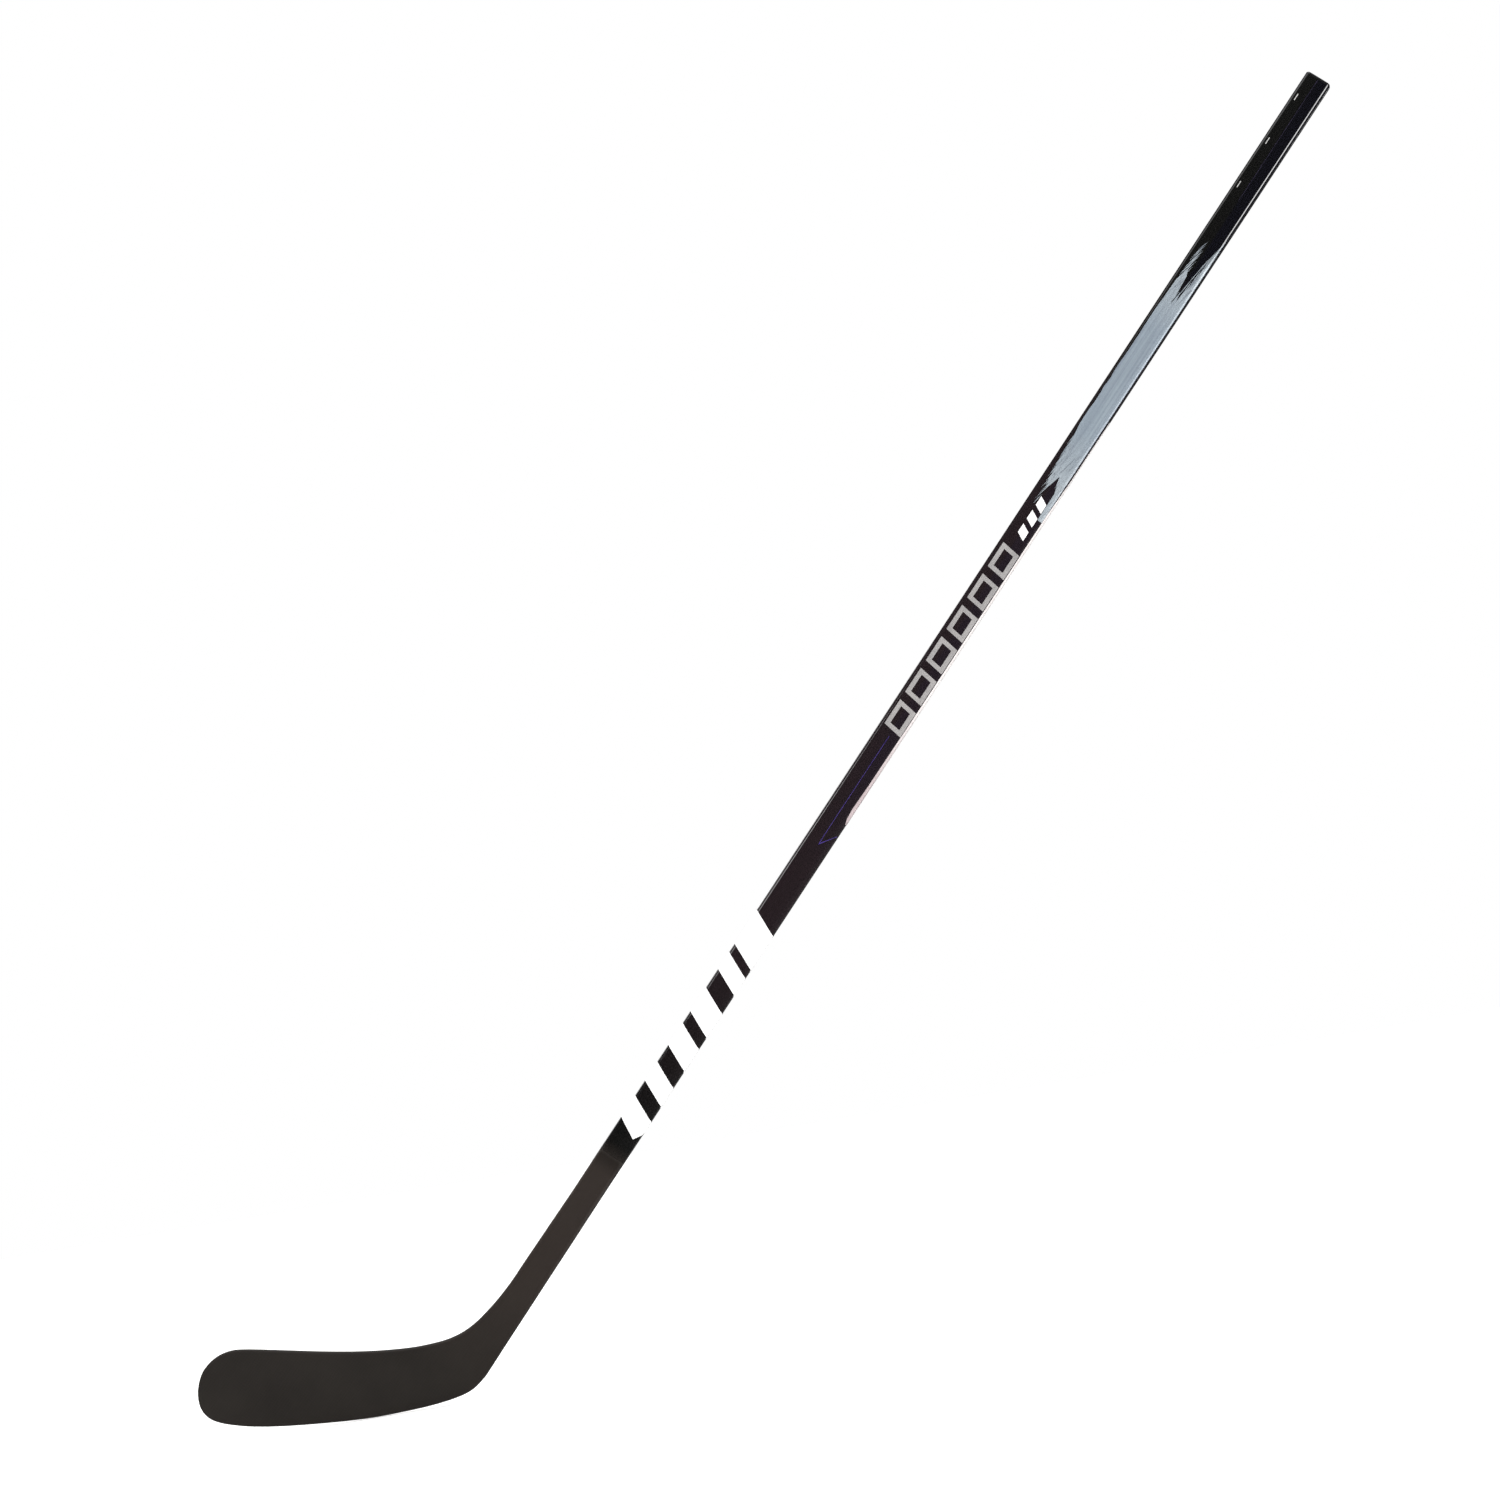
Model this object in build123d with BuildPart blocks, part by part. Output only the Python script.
from build123d import *
import os
from math import cos, radians, sin, tan

os.makedirs("parts", exist_ok=True)

# Ice hockey stick in its playing pose, millimetres.
# +Z is up, the ice is the plane Z = 0 and the origin is the point of the
# blade's rocker that touches it.  The blade points along -X, the shaft rises
# towards +X, and the two wide faces of the stick look along -Y (forehand)
# and +Y (backhand).
#
# Places on the shaft are given as u, the distance up the shaft from the heel
# corner, and v, the distance from the heel corner towards the back edge.

# --- shaft ------------------------------------------------------------------
lie_angle = 47.0          # shaft above the ice, a lie 6 stick
heel_x = 106.5            # heel corner, in front of which the blade starts
heel_z = 16.7             # heel corner above the ice
shaft_length = 1524.0     # heel corner to butt end, a 60 inch senior stick
shaft_w = 27.2            # wide face
shaft_t = 18.5            # narrow side
shaft_r = 4.5             # corner radius
wall = 1.5                # laminate wall of the tube
shaft_v = -14.1           # shaft centre line in front of the heel corner

# --- lower shaft, fuse joint and butt end -----------------------------------
u_join = 120.0            # blade neck meets the tapered lower shaft
u_mid = 160.0
u_straight = 206.0        # taper ends, full section from here up
u_fuse = 255.0            # lower shaft butts against the shaft tube
neck_w, neck_t, neck_v = 29.3, 11.5, -14.55

# Cross sections: width, thickness, corner radius.
shaft_section = (shaft_w, shaft_t, shaft_r)
neck_section = (neck_w, neck_t, 3.2)
mid_section = (28.4, 15.0, 3.8)

# Stations of the taper: u, v of the centre line, cross section.
taper = [
    (u_join, neck_v, neck_section),
    (u_mid, -14.3, mid_section),
    (u_straight, shaft_v, shaft_section),
]

spigot_from, spigot_to = 212.0, 315.0
spigot_wall = 1.6
spigot_inner_r = 0.9
spigot_chamfer = 0.8
glue = 0.25               # adhesive gap all round the spigot
glue_from, glue_to = spigot_from + 2.0, spigot_to - 4.0
foam_to = 200.0           # damping foam in the lower shaft
cap_t = 2.6               # flange of the butt end plug
cap_round = 2.0
plug_len = 22.0
plug_wall = 2.2
plug_inner_r = 1.0

# --- blade ------------------------------------------------------------------
skin = 1.2                # carbon face sheets
edge_band = 3.6           # laminate band round the blade's outline
rib_w = 2.6               # height of the bridge between the two foam cores
half_neck = neck_t / 2

# Outline of the blade and its neck as (x, z): from the front of the neck down
# the top edge to the toe, then back along the sole to the heel.
front_and_top = [
    (153.4, 110.0), (143.7, 100.7), (134.3, 92.4),
    (125.1, 85.1), (116.1, 78.5), (107.2, 72.9), (98.6, 68.7), (90.2, 65.7),
    (78.5, 63.0), (62.5, 61.5), (46.5, 61.1), (30.5, 61.8), (11.5, 63.4),
    (-12.3, 66.4), (-43.0, 71.6), (-73.6, 77.7), (-104.1, 83.9),
    (-119.4, 86.6), (-127.5, 87.3), (-134.5, 86.7), (-141.5, 84.8),
    (-148.0, 81.6), (-154.0, 77.1), (-159.2, 71.3), (-163.1, 63.3),
    (-165.5, 54.3), (-166.1, 46.2),
]
toe_and_sole = [
    front_and_top[-1], (-165.0, 38.2), (-162.0, 31.2), (-156.5, 25.0),
    (-148.5, 20.3), (-139.3, 16.8), (-124.3, 12.5), (-106.5, 9.0),
    (-85.9, 6.1), (-62.6, 3.7), (-39.2, 1.8), (-19.5, 0.6), (0.0, 0.0),
    (23.8, 0.6), (46.5, 1.7), (63.5, 3.2), (78.5, 5.4), (89.5, 8.0),
    (97.5, 11.1), (103.5, 14.8), (109.0, 19.2), (114.6, 24.4),
]
neck_tangent = (-0.682, -0.7314)   # top edge leaving the neck
toe_tangent = (0, -1)
heel_tangent = (0.678, 0.735)      # sole running into the heel

# Plan view of the curved blade: distance in front of the heel corner, offset
# of the middle surface (towards -Y, the forehand) and half thickness.
plan = [
    (-6.0, 0.00, half_neck), (12.0, -0.02, 5.35), (34.0, -0.15, 4.75),
    (60.0, -0.75, 4.35), (90.0, -2.05, 4.05), (122.0, -4.35, 3.80),
    (154.0, -7.65, 3.55), (186.0, -12.00, 3.30), (216.0, -17.05, 3.05),
    (244.0, -22.75, 2.85), (268.0, -28.40, 2.70), (290.0, -34.10, 2.60),
]
toe_slope = 0.24          # slope of both plan curves at the toe
neck_end = 240.0          # X to which the straight part of the plan runs on
twist_toe = 6.0           # the forehand face opens by this angle
twist_from = 30.0         # distance in front of the heel where it starts
twist_full = 270.0        # distance where it reaches the angle
z_low, z_high, z_pivot = -12.0, 150.0, 40.0

outline_half_depth = 60.0   # half depth in Y of the solids cut to the outline
zone_half_depth = 70.0      # and of the zones that divide the blade

# --- printed films ----------------------------------------------------------
film = 0.10               # thickness of a printed film
film_margin = 0.1         # kept clear of the rounded corners
high = shaft_w / 2 - shaft_r - film_margin   # half width of a wide face's flat
low = -high

# ---------------------------------------------------------------------------
# construction planes and helpers
# ---------------------------------------------------------------------------
run, rise = cos(radians(lie_angle)), sin(radians(lie_angle))
up_shaft = Vector(run, 0, rise)
to_back = Vector(rise, 0, -run)
heel = Vector(heel_x, 0, heel_z)
shaft_axis = Axis(heel, up_shaft)


def station(u, v=shaft_v):
    """Plane across the shaft at u; X to the back edge, Y = +Y."""
    return Plane(origin=heel + up_shaft * u + to_back * v, x_dir=to_back, z_dir=up_shaft)


# on the forehand face: X runs up the shaft, Y towards its front edge
face_plane = Plane(
    origin=heel + to_back * shaft_v + Vector(0, -shaft_t / 2, 0),
    x_dir=up_shaft,
    z_dir=Vector(0, -1, 0),
)
# on the narrow back side: X runs up the shaft, Y = -Y of the stick
side_plane = Plane(
    origin=heel + to_back * (shaft_v + shaft_w / 2),
    x_dir=up_shaft,
    z_dir=to_back,
)


def rounded(section, inset=0.0, radius=None, mode=Mode.ADD):
    """Draw a cross section, set in all round, in the sketch that is open."""
    width, thickness, corner = section
    if radius is None:
        radius = corner - inset
    RectangleRounded(width - 2 * inset, thickness - 2 * inset, radius, mode=mode)


def combine(base, tool, mode):
    """Part left after the tool is subtracted from or intersected with the base."""
    with BuildPart() as result:
        add(base)
        add(tool, mode=mode)
    return result.part


def single(solid):
    """Part holding one solid."""
    with BuildPart() as result:
        add(solid)
    return result.part


# ---------------------------------------------------------------------------
# shaft tube and butt end
# ---------------------------------------------------------------------------
with BuildPart() as shaft_tube:
    with BuildSketch(station(u_fuse)):
        rounded(shaft_section)
        rounded(shaft_section, wall, mode=Mode.SUBTRACT)
    extrude(amount=shaft_length - cap_t - u_fuse)

with BuildPart() as butt_end_plug:
    with BuildSketch(station(shaft_length - cap_t)):
        rounded(shaft_section)
    extrude(amount=cap_t)
    rim = butt_end_plug.faces().sort_by(shaft_axis)[-1].edges()
    fillet(rim, cap_round)
    with BuildSketch(station(shaft_length - cap_t)):
        rounded(shaft_section, wall)
    extrude(amount=-plug_len)
    # the plug is a thin cup, open downwards
    with BuildSketch(station(shaft_length - cap_t - plug_len)):
        rounded(shaft_section, wall + plug_wall, radius=plug_inner_r)
    extrude(amount=plug_len, mode=Mode.SUBTRACT)

# ---------------------------------------------------------------------------
# fuse joint: hollow spigot, its adhesive, and the tapered lower shaft
# ---------------------------------------------------------------------------
with BuildPart() as fuse_spigot:
    with BuildSketch(station(spigot_from)):
        rounded(shaft_section, wall + glue)
        rounded(
            shaft_section, wall + glue + spigot_wall,
            radius=spigot_inner_r, mode=Mode.SUBTRACT,
        )
    extrude(amount=spigot_to - spigot_from)
    lead_in = fuse_spigot.faces().sort_by(shaft_axis)[-1].outer_wire().edges()
    chamfer(lead_in, spigot_chamfer)

with BuildPart() as fuse_adhesive:
    with BuildSketch(station(glue_from)):
        rounded(shaft_section, wall)
        rounded(shaft_section, wall + glue, mode=Mode.SUBTRACT)
    extrude(amount=glue_to - glue_from)

# the outside of the lower shaft first, then its cavity
with BuildPart() as lower_shaft:
    for inset, mode in ((0.0, Mode.ADD), (wall, Mode.SUBTRACT)):
        for u, v, section in taper:
            with BuildSketch(station(u, v)):
                rounded(section, inset)
        loft(mode=mode)
        with BuildSketch(station(u_straight)):
            rounded(shaft_section, inset)
        extrude(amount=u_fuse - u_straight, mode=mode)

# tapered cavity of the lower shaft as a solid, cut down to the foam length
with BuildPart() as damping_foam:
    for u, v, section in taper:
        with BuildSketch(station(u, v)):
            rounded(section, wall)
    loft()
    split(bisect_by=station(foam_to), keep=Keep.BOTTOM)


# ---------------------------------------------------------------------------
# blade: curved and twisted blank
# ---------------------------------------------------------------------------
def plan_points(side, inset, z):
    """Points of one face in plan at height z (side -1 forehand, +1 backhand)."""
    points = []
    for ahead, y, half in plan:
        twisted = max(0.0, ahead - twist_from) / (twist_full - twist_from)
        lean = tan(radians(twist_toe)) * twisted
        points.append((heel_x - ahead, y + (z - z_pivot) * lean + side * (half - inset)))
    return points


def plan_sketch(inset, z):
    """Plan of the blade at height z, both faces set in."""
    forehand = plan_points(-1, inset, z)
    backhand = plan_points(+1, inset, z)
    half = half_neck - inset
    with BuildSketch(Plane.XY.offset(z)) as sketch:
        with BuildLine():
            Spline(*reversed(forehand), tangents=[(1, toe_slope), (1, 0)])
            Line(forehand[0], (neck_end, -half))
            Line((neck_end, -half), (neck_end, half))
            Line((neck_end, half), backhand[0])
            Spline(*backhand, tangents=[(-1, 0), (-1, -toe_slope)])
            Line(backhand[-1], forehand[-1])
        make_face()
    return sketch.sketch


def plan_band(inset):
    """Tall band between the two faces of the blade, before its outline is cut."""
    with BuildPart() as band:
        add(plan_sketch(inset, z_low))
        add(plan_sketch(inset, z_high))
        loft(ruled=True)
    return band.part


def neck_corner(side):
    """(x, z) of the neck's end, square to the shaft (side -1 front, +1 back)."""
    v = neck_v + side * neck_w / 2
    return (heel_x + u_join * run + v * rise, heel_z + u_join * rise - v * run)


neck_front = neck_corner(-1)
neck_back = neck_corner(+1)

with BuildSketch(Plane.XZ) as outline:
    with BuildLine():
        Spline(neck_front, *front_and_top, tangents=[neck_tangent, toe_tangent])
        Spline(*toe_and_sole, tangents=[toe_tangent, heel_tangent])
        Line(toe_and_sole[-1], neck_back)
        Line(neck_back, neck_front)
    make_face()

outer_band = plan_band(0.0)
core_band = plan_band(skin)

with BuildPart() as blank:
    with BuildSketch(Plane.XZ.offset(-outline_half_depth)):
        add(outline.sketch)
    extrude(amount=2 * outline_half_depth)
    add(outer_band, mode=Mode.INTERSECT)

# the face sheets are what lies outside the core band, the middle is the rest
sheets = combine(blank.part, core_band, Mode.SUBTRACT).solids().sort_by(Axis.Y)
blade_forehand_skin = single(sheets[0])
blade_backhand_skin = single(sheets[-1])
middle = combine(blank.part, core_band, Mode.INTERSECT)

# ---------------------------------------------------------------------------
# blade: edge bands, heel block, bridge and foam cores
# ---------------------------------------------------------------------------
beyond = 14.0                       # the inner prism runs on past the neck's end
neck_back_middle = (150.0, 62.8)    # point on the neck's back edge
path = [neck_front] + front_and_top + toe_and_sole[1:] + [neck_back_middle, neck_back]


def inset_path(points, amount):
    """Points moved inwards, square to the line between their neighbours."""
    moved = []
    for i, (x, z) in enumerate(points):
        before_x, before_z = points[max(i - 1, 0)]
        after_x, after_z = points[min(i + 1, len(points) - 1)]
        dx, dz = after_x - before_x, after_z - before_z
        length = (dx**2 + dz**2) ** 0.5
        moved.append((x - amount * dz / length, z + amount * dx / length))
    return moved


inner_path = inset_path(path, edge_band)
for end in (0, -1):
    x, z = inner_path[end]
    inner_path[end] = (x + beyond * run, z + beyond * rise)

with BuildPart() as inner_prism:
    with BuildSketch(Plane.XZ.offset(-outline_half_depth)):
        with BuildLine():
            Spline(*inner_path)
            Line(inner_path[-1], inner_path[0])
        make_face()
    extrude(amount=2 * outline_half_depth)


def zone(corners):
    """Prism through the blade along Y over a polygon of (x, z) corners."""
    with BuildPart() as prism:
        with BuildSketch(Plane.XZ.offset(-zone_half_depth)):
            with BuildLine():
                Polyline(*corners, close=True)
            make_face()
        extrude(amount=2 * zone_half_depth)
    return prism.part


# above the line from toe to neck that divides the edge bands
upper_zone = zone([
    (-200.0, 46.2), (-60.0, 40.0), (90.0, 36.0), (190.0, 127.0),
    (150.0, 170.0), (-200.0, 170.0),
])
# heel and neck behind the slanted end of the foam
heel_zone = zone([
    (70.0, -20.0), (58.0, 90.0), (150.0, 170.0), (260.0, 120.0), (140.0, -20.0),
])
# strip along the blade between the upper and lower foam
rib_bottom = [(-200.0, 50.0), (-90.0, 46.0), (0.0, 37.0), (90.0, 33.0)]
rib_zone = zone([(x, z + rib_w) for x, z in rib_bottom] + rib_bottom[::-1])

edge_ring = combine(middle, inner_prism.part, Mode.SUBTRACT)
blade_top_edge = combine(edge_ring, upper_zone, Mode.INTERSECT)
blade_bottom_edge = combine(edge_ring, upper_zone, Mode.SUBTRACT)

core = combine(middle, inner_prism.part, Mode.INTERSECT)
heel_block = combine(core, heel_zone, Mode.INTERSECT)
foam_zone = combine(core, heel_zone, Mode.SUBTRACT)
blade_bridge = combine(foam_zone, rib_zone, Mode.INTERSECT)

foam_halves = combine(foam_zone, rib_zone, Mode.SUBTRACT).solids().sort_by(Axis.Z)
lower_foam_core = single(foam_halves[0])
upper_foam_core = single(foam_halves[-1])


# ---------------------------------------------------------------------------
# printed films; polygons are (u, y) corners on the face plane
# ---------------------------------------------------------------------------
def bar(start, end, lean=0.0, bottom=low, top=high):
    """Corners of a bar from start to end at its top, shifted back by lean below."""
    return [(start, top), (end, top), (end - lean, bottom), (start - lean, bottom)]


def face_film(polygons, openings=()):
    """Film of polygons less openings, on the flat of both wide faces."""
    with BuildPart() as piece:
        with BuildSketch(face_plane):
            for corners in polygons:
                with BuildLine():
                    Polyline(*corners, close=True)
                make_face()
            for corners in openings:
                with BuildLine():
                    Polyline(*corners, close=True)
                make_face(mode=Mode.SUBTRACT)
        extrude(amount=film)
        mirror(about=Plane.XZ)
    return piece.part


# slanted bars: where their ends cross the middle of the face
bar_slope = 0.478
bar_ends = [(328.5, 350.1), (369.8, 395.4), (409.2, 436.9), (458.6, 478.3), (488.2, 527.7)]
lowest_bar_end = 310.7
# the lowest bar has a notched lower end
notched_bar = [
    (290.4, high), (lowest_bar_end + bar_slope * high, high),
    (lowest_bar_end + bar_slope * low, low), (280.4, low), (280.2, -8.6),
]
lower_bar_film = face_film([notched_bar] + [
    bar(start + bar_slope * high, end + bar_slope * high, bar_slope * (high - low))
    for start, end in bar_ends
])

# row of leaning frames, each with a less slanted opening
frame_from, frame_count, frame_pitch = 752.3, 6, 37.0
frame_len, frame_line, frame_lean = 28.2, 4.5, 3.4
opening_shift, opening_lean = 0.8, 1.8
frame_starts = [frame_from + i * frame_pitch + frame_lean for i in range(frame_count)]
link_frame_film = face_film(
    [bar(start, start + frame_len, frame_lean) for start in frame_starts],
    openings=[
        bar(
            start + frame_line - opening_shift,
            start + frame_len - frame_line - opening_shift,
            opening_lean, low + frame_line, high - frame_line,
        )
        for start in frame_starts
    ],
)

slash_from, slash_count, slash_pitch = 979.8, 3, 16.0
slash_len, slash_lean = 10.0, 5.0
slash_starts = [slash_from + i * slash_pitch + slash_lean for i in range(slash_count)]
slash_film = face_film([
    bar(start, start + slash_len, slash_lean, bottom=-6.7, top=2.4)
    for start in slash_starts
])

silver_panel_film = face_film([[
    (1005.0, -7.3), (1036.0, -7.1), (1053.0, -2.1), (1037.0, 3.6),
    (1052.0, 7.5), (1078.0, 8.2), (1096.0, high), (1258.0, high),
    (1280.0, 8.7), (1293.0, 4.0), (1273.0, 0.6), (1256.0, -0.3),
    (1258.0, -2.6), (1284.0, -4.6), (1318.0, -8.0), (1330.0, low),
    (1005.0, low),
]])

hooked_line = [
    (620.1, -2.0), (632.0, -1.7), (747.8, -1.7), (747.8, -2.2),
    (632.4, -2.2), (622.7, -2.6), (631.6, low), (630.4, low),
]
# a second, thinner line runs near the middle towards the butt end
pinstripe_film = face_film([hooked_line, bar(1378.0, 1520.0, bottom=-0.55, top=-0.1)])

# the side stripe lies on the narrow back side only
stripe_from, stripe_to = 652.0, 1125.0
with BuildPart() as side_stripe_film:
    with BuildSketch(side_plane):
        with Locations(((stripe_from + stripe_to) / 2, 0)):
            Rectangle(stripe_to - stripe_from, shaft_t - 2 * (shaft_r + film_margin))
    extrude(amount=film)

tick_len, tick_w, tick_y = 7.2, 0.9, 8.45
length_tick_film = face_film([
    bar(
        middle_u - tick_len / 2, middle_u + tick_len / 2,
        bottom=tick_y - tick_w / 2, top=tick_y + tick_w / 2,
    )
    for middle_u in (1391.8, 1443.4, 1495.2)
])

# ---------------------------------------------------------------------------
# labels and files, one per piece
# ---------------------------------------------------------------------------
pieces = {
    "shaft_tube": shaft_tube.part,
    "butt_end_plug": butt_end_plug.part,
    "fuse_spigot": fuse_spigot.part,
    "fuse_adhesive": fuse_adhesive.part,
    "lower_shaft": lower_shaft.part,
    "damping_foam": damping_foam.part,
    "blade_forehand_skin": blade_forehand_skin,
    "blade_backhand_skin": blade_backhand_skin,
    "blade_top_edge": blade_top_edge,
    "blade_bottom_edge": blade_bottom_edge,
    "blade_bridge": blade_bridge,
    "upper_foam_core": upper_foam_core,
    "lower_foam_core": lower_foam_core,
    "heel_block": heel_block,
    "lower_bar_film": lower_bar_film,
    "link_frame_film": link_frame_film,
    "slash_film": slash_film,
    "silver_panel_film": silver_panel_film,
    "pinstripe_film": pinstripe_film,
    "side_stripe_film": side_stripe_film.part,
    "length_tick_film": length_tick_film,
}
for name, part in pieces.items():
    part.label = name
    export_step(part, "parts/" + name + ".step")
